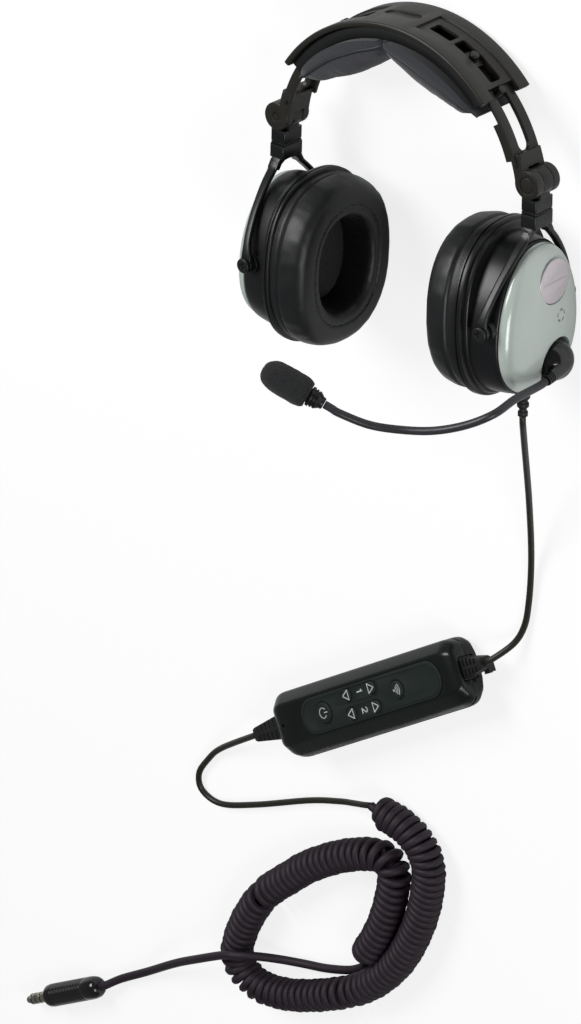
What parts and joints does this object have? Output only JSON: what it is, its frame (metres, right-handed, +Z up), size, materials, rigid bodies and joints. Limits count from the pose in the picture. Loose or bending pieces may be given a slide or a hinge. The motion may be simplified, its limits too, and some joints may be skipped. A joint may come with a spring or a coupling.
{
  "type": "aviation headset",
  "caption": "Over-ear aviation headset with folding sprung band, boom microphone, in-line control module, curly cord and four-contact plug.",
  "frame": {"origin": "on the table, under the middle of the headset and its control module", "axes": "+Z up from the table; +X toward the wearer's left side; +Y toward the headband's crown; the headset lies on its back"},
  "size_m": [0.5537, 0.7791, 0.1601],
  "materials": {
    "cover_plastic": "satin brown-black moulding",
    "black_plastic": "fine satin moulding",
    "gloss_black": "polished",
    "leatherette": "soft, faint sheen",
    "pad_fabric": "knitted, matte",
    "foam": "open-cell foam",
    "pearl": "pearl green-grey lacquer",
    "badge_silver": "satin, bare",
    "steel": "satin",
    "gooseneck_coat": "satin",
    "nickel": "nickel plate",
    "cord_rubber": "satin",
    "curl_rubber": "satin",
    "module_black": "satin green-black",
    "keypad_rubber": "matte",
    "board": "solder mask",
    "cell": "sleeve"
  },
  "bodies": {
    "left_cup": {"left_ear_cushion": "leatherette", "left_cup_shell": "black_plastic", "left_baffle_plate": "black_plastic", "left_speaker": "steel", "left_acoustic_screen": "foam", "left_cup_cover": "pearl", "left_badge_plate": "badge_silver", "left_yoke_screw_front": "steel", "left_yoke_screw_rear": "steel", "boom_base": "gloss_black", "cup_strain_relief": "black_plastic", "cup_lead": "cord_rubber", "module_top_case": "module_black", "module_bottom_case": "module_black", "keypad_membrane": "keypad_rubber", "battery_a": "cell", "battery_b": "cell", "module_board": "board", "module_relief_in": "black_plastic", "module_relief_out": "black_plastic", "coil_lead": "cord_rubber", "curly_cord": "curl_rubber", "plug_lead": "cord_rubber", "plug_handle": "gloss_black", "plug_pin": "nickel"},
    "boom": {"boom_elbow": "gloss_black", "gooseneck": "gooseneck_coat", "mic_holder": "black_plastic", "windscreen": "foam"},
    "left_yoke_body": {"left_yoke": "black_plastic"},
    "left_block": {"left_swivel_block": "black_plastic"},
    "left_slider": {"left_slider_leaf": "cover_plastic", "left_detent_stud": "steel", "left_hinge_pin": "steel"},
    "headband": {"headband_cover": "cover_plastic", "headband_frame": "black_plastic", "head_pad": "pad_fabric"},
    "right_slider": {"right_slider_leaf": "cover_plastic", "right_detent_stud": "steel", "right_hinge_pin": "steel"},
    "right_block": {"right_swivel_block": "black_plastic"},
    "right_yoke_body": {"right_yoke": "black_plastic"},
    "right_cup": {"right_ear_cushion": "leatherette", "right_cup_shell": "black_plastic", "right_baffle_plate": "black_plastic", "right_speaker": "steel", "right_acoustic_screen": "foam", "right_cup_cover": "pearl", "right_badge_plate": "badge_silver", "right_yoke_screw_front": "steel", "right_yoke_screw_rear": "steel"},
    "battery_door_body": {"battery_door": "module_black"},
    "key_power_body": {"key_power": "keypad_rubber"},
    "key_1_down_body": {"key_1_down": "keypad_rubber"},
    "key_1_up_body": {"key_1_up": "keypad_rubber"},
    "key_2_down_body": {"key_2_down": "keypad_rubber"},
    "key_2_up_body": {"key_2_up": "keypad_rubber"},
    "key_wireless_body": {"key_wireless": "keypad_rubber"}
  },
  "joints": [
    {"name": "boom_swing", "type": "hinge", "parent": "left_cup", "child": "boom", "pos_m": [0.07685, 0.07564, 0.03879], "axis": [-0.9969, 0.0743, 0.0262], "range_deg": [-60, 25]},
    {"name": "left_cup_tilt", "type": "hinge", "parent": "left_cup", "child": "left_yoke_body", "pos_m": [0.11932, 0.10107, 0.04268], "axis": [-0.0366, -0.1417, -0.9892], "range_deg": [-6, 6]},
    {"name": "left_swivel", "type": "hinge", "parent": "left_yoke_body", "child": "left_block", "pos_m": [0.13167, 0.17656, 0.03141], "axis": [0.0698, 0.9871, -0.144], "range_deg": [-15, 15]},
    {"name": "left_fold", "type": "hinge", "parent": "left_block", "child": "left_slider", "pos_m": [0.13167, 0.17656, 0.03141], "axis": [0, 0.1444, 0.9895], "range_deg": [0, 35]},
    {"name": "left_height", "type": "hinge", "parent": "left_slider", "child": "headband", "pos_m": [0.0442, 0.167, 0.0328], "axis": [0, 0.1444, 0.9895], "range_deg": [-6, 10]},
    {"name": "right_height", "type": "hinge", "parent": "headband", "child": "right_slider", "pos_m": [0.0442, 0.167, 0.0328], "axis": [0, -0.1444, -0.9895], "range_deg": [-15, 1]},
    {"name": "right_fold", "type": "hinge", "parent": "right_slider", "child": "right_block", "pos_m": [-0.04209, 0.18406, 0.03031], "axis": [0, -0.1444, -0.9895], "range_deg": [-35, 0]},
    {"name": "right_swivel", "type": "hinge", "parent": "right_block", "child": "right_yoke_body", "pos_m": [-0.04209, 0.18406, 0.03031], "axis": [-0.0958, -0.985, 0.1437], "range_deg": [-15, 15]},
    {"name": "right_cup_tilt", "type": "hinge", "parent": "right_yoke_body", "child": "right_cup", "pos_m": [-0.04251, 0.10759, 0.04173], "axis": [-0.0365, 0.1477, 0.9884], "range_deg": [-6, 6]},
    {"name": "battery_door_slide", "type": "slide", "parent": "left_cup", "child": "battery_door_body", "axis": [0.1273, -0.2445, -0.9613], "range_m": [0, 0.006]},
    {"name": "key_power_press", "type": "slide", "parent": "left_cup", "child": "key_power_body", "axis": [0.1273, -0.2445, -0.9613], "range_m": [0, 0.0008], "stiffness_N_per_m": 400, "springref_m": -0.0008},
    {"name": "key_1_down_press", "type": "slide", "parent": "left_cup", "child": "key_1_down_body", "axis": [0.1273, -0.2445, -0.9613], "range_m": [0, 0.0008], "stiffness_N_per_m": 400, "springref_m": -0.0008},
    {"name": "key_1_up_press", "type": "slide", "parent": "left_cup", "child": "key_1_up_body", "axis": [0.1273, -0.2445, -0.9613], "range_m": [0, 0.0008], "stiffness_N_per_m": 400, "springref_m": -0.0008},
    {"name": "key_2_down_press", "type": "slide", "parent": "left_cup", "child": "key_2_down_body", "axis": [0.1273, -0.2445, -0.9613], "range_m": [0, 0.0008], "stiffness_N_per_m": 400, "springref_m": -0.0008},
    {"name": "key_2_up_press", "type": "slide", "parent": "left_cup", "child": "key_2_up_body", "axis": [0.1273, -0.2445, -0.9613], "range_m": [0, 0.0008], "stiffness_N_per_m": 400, "springref_m": -0.0008},
    {"name": "key_wireless_press", "type": "slide", "parent": "left_cup", "child": "key_wireless_body", "axis": [0.1273, -0.2445, -0.9613], "range_m": [0, 0.0008], "stiffness_N_per_m": 400, "springref_m": -0.0008}
  ]
}
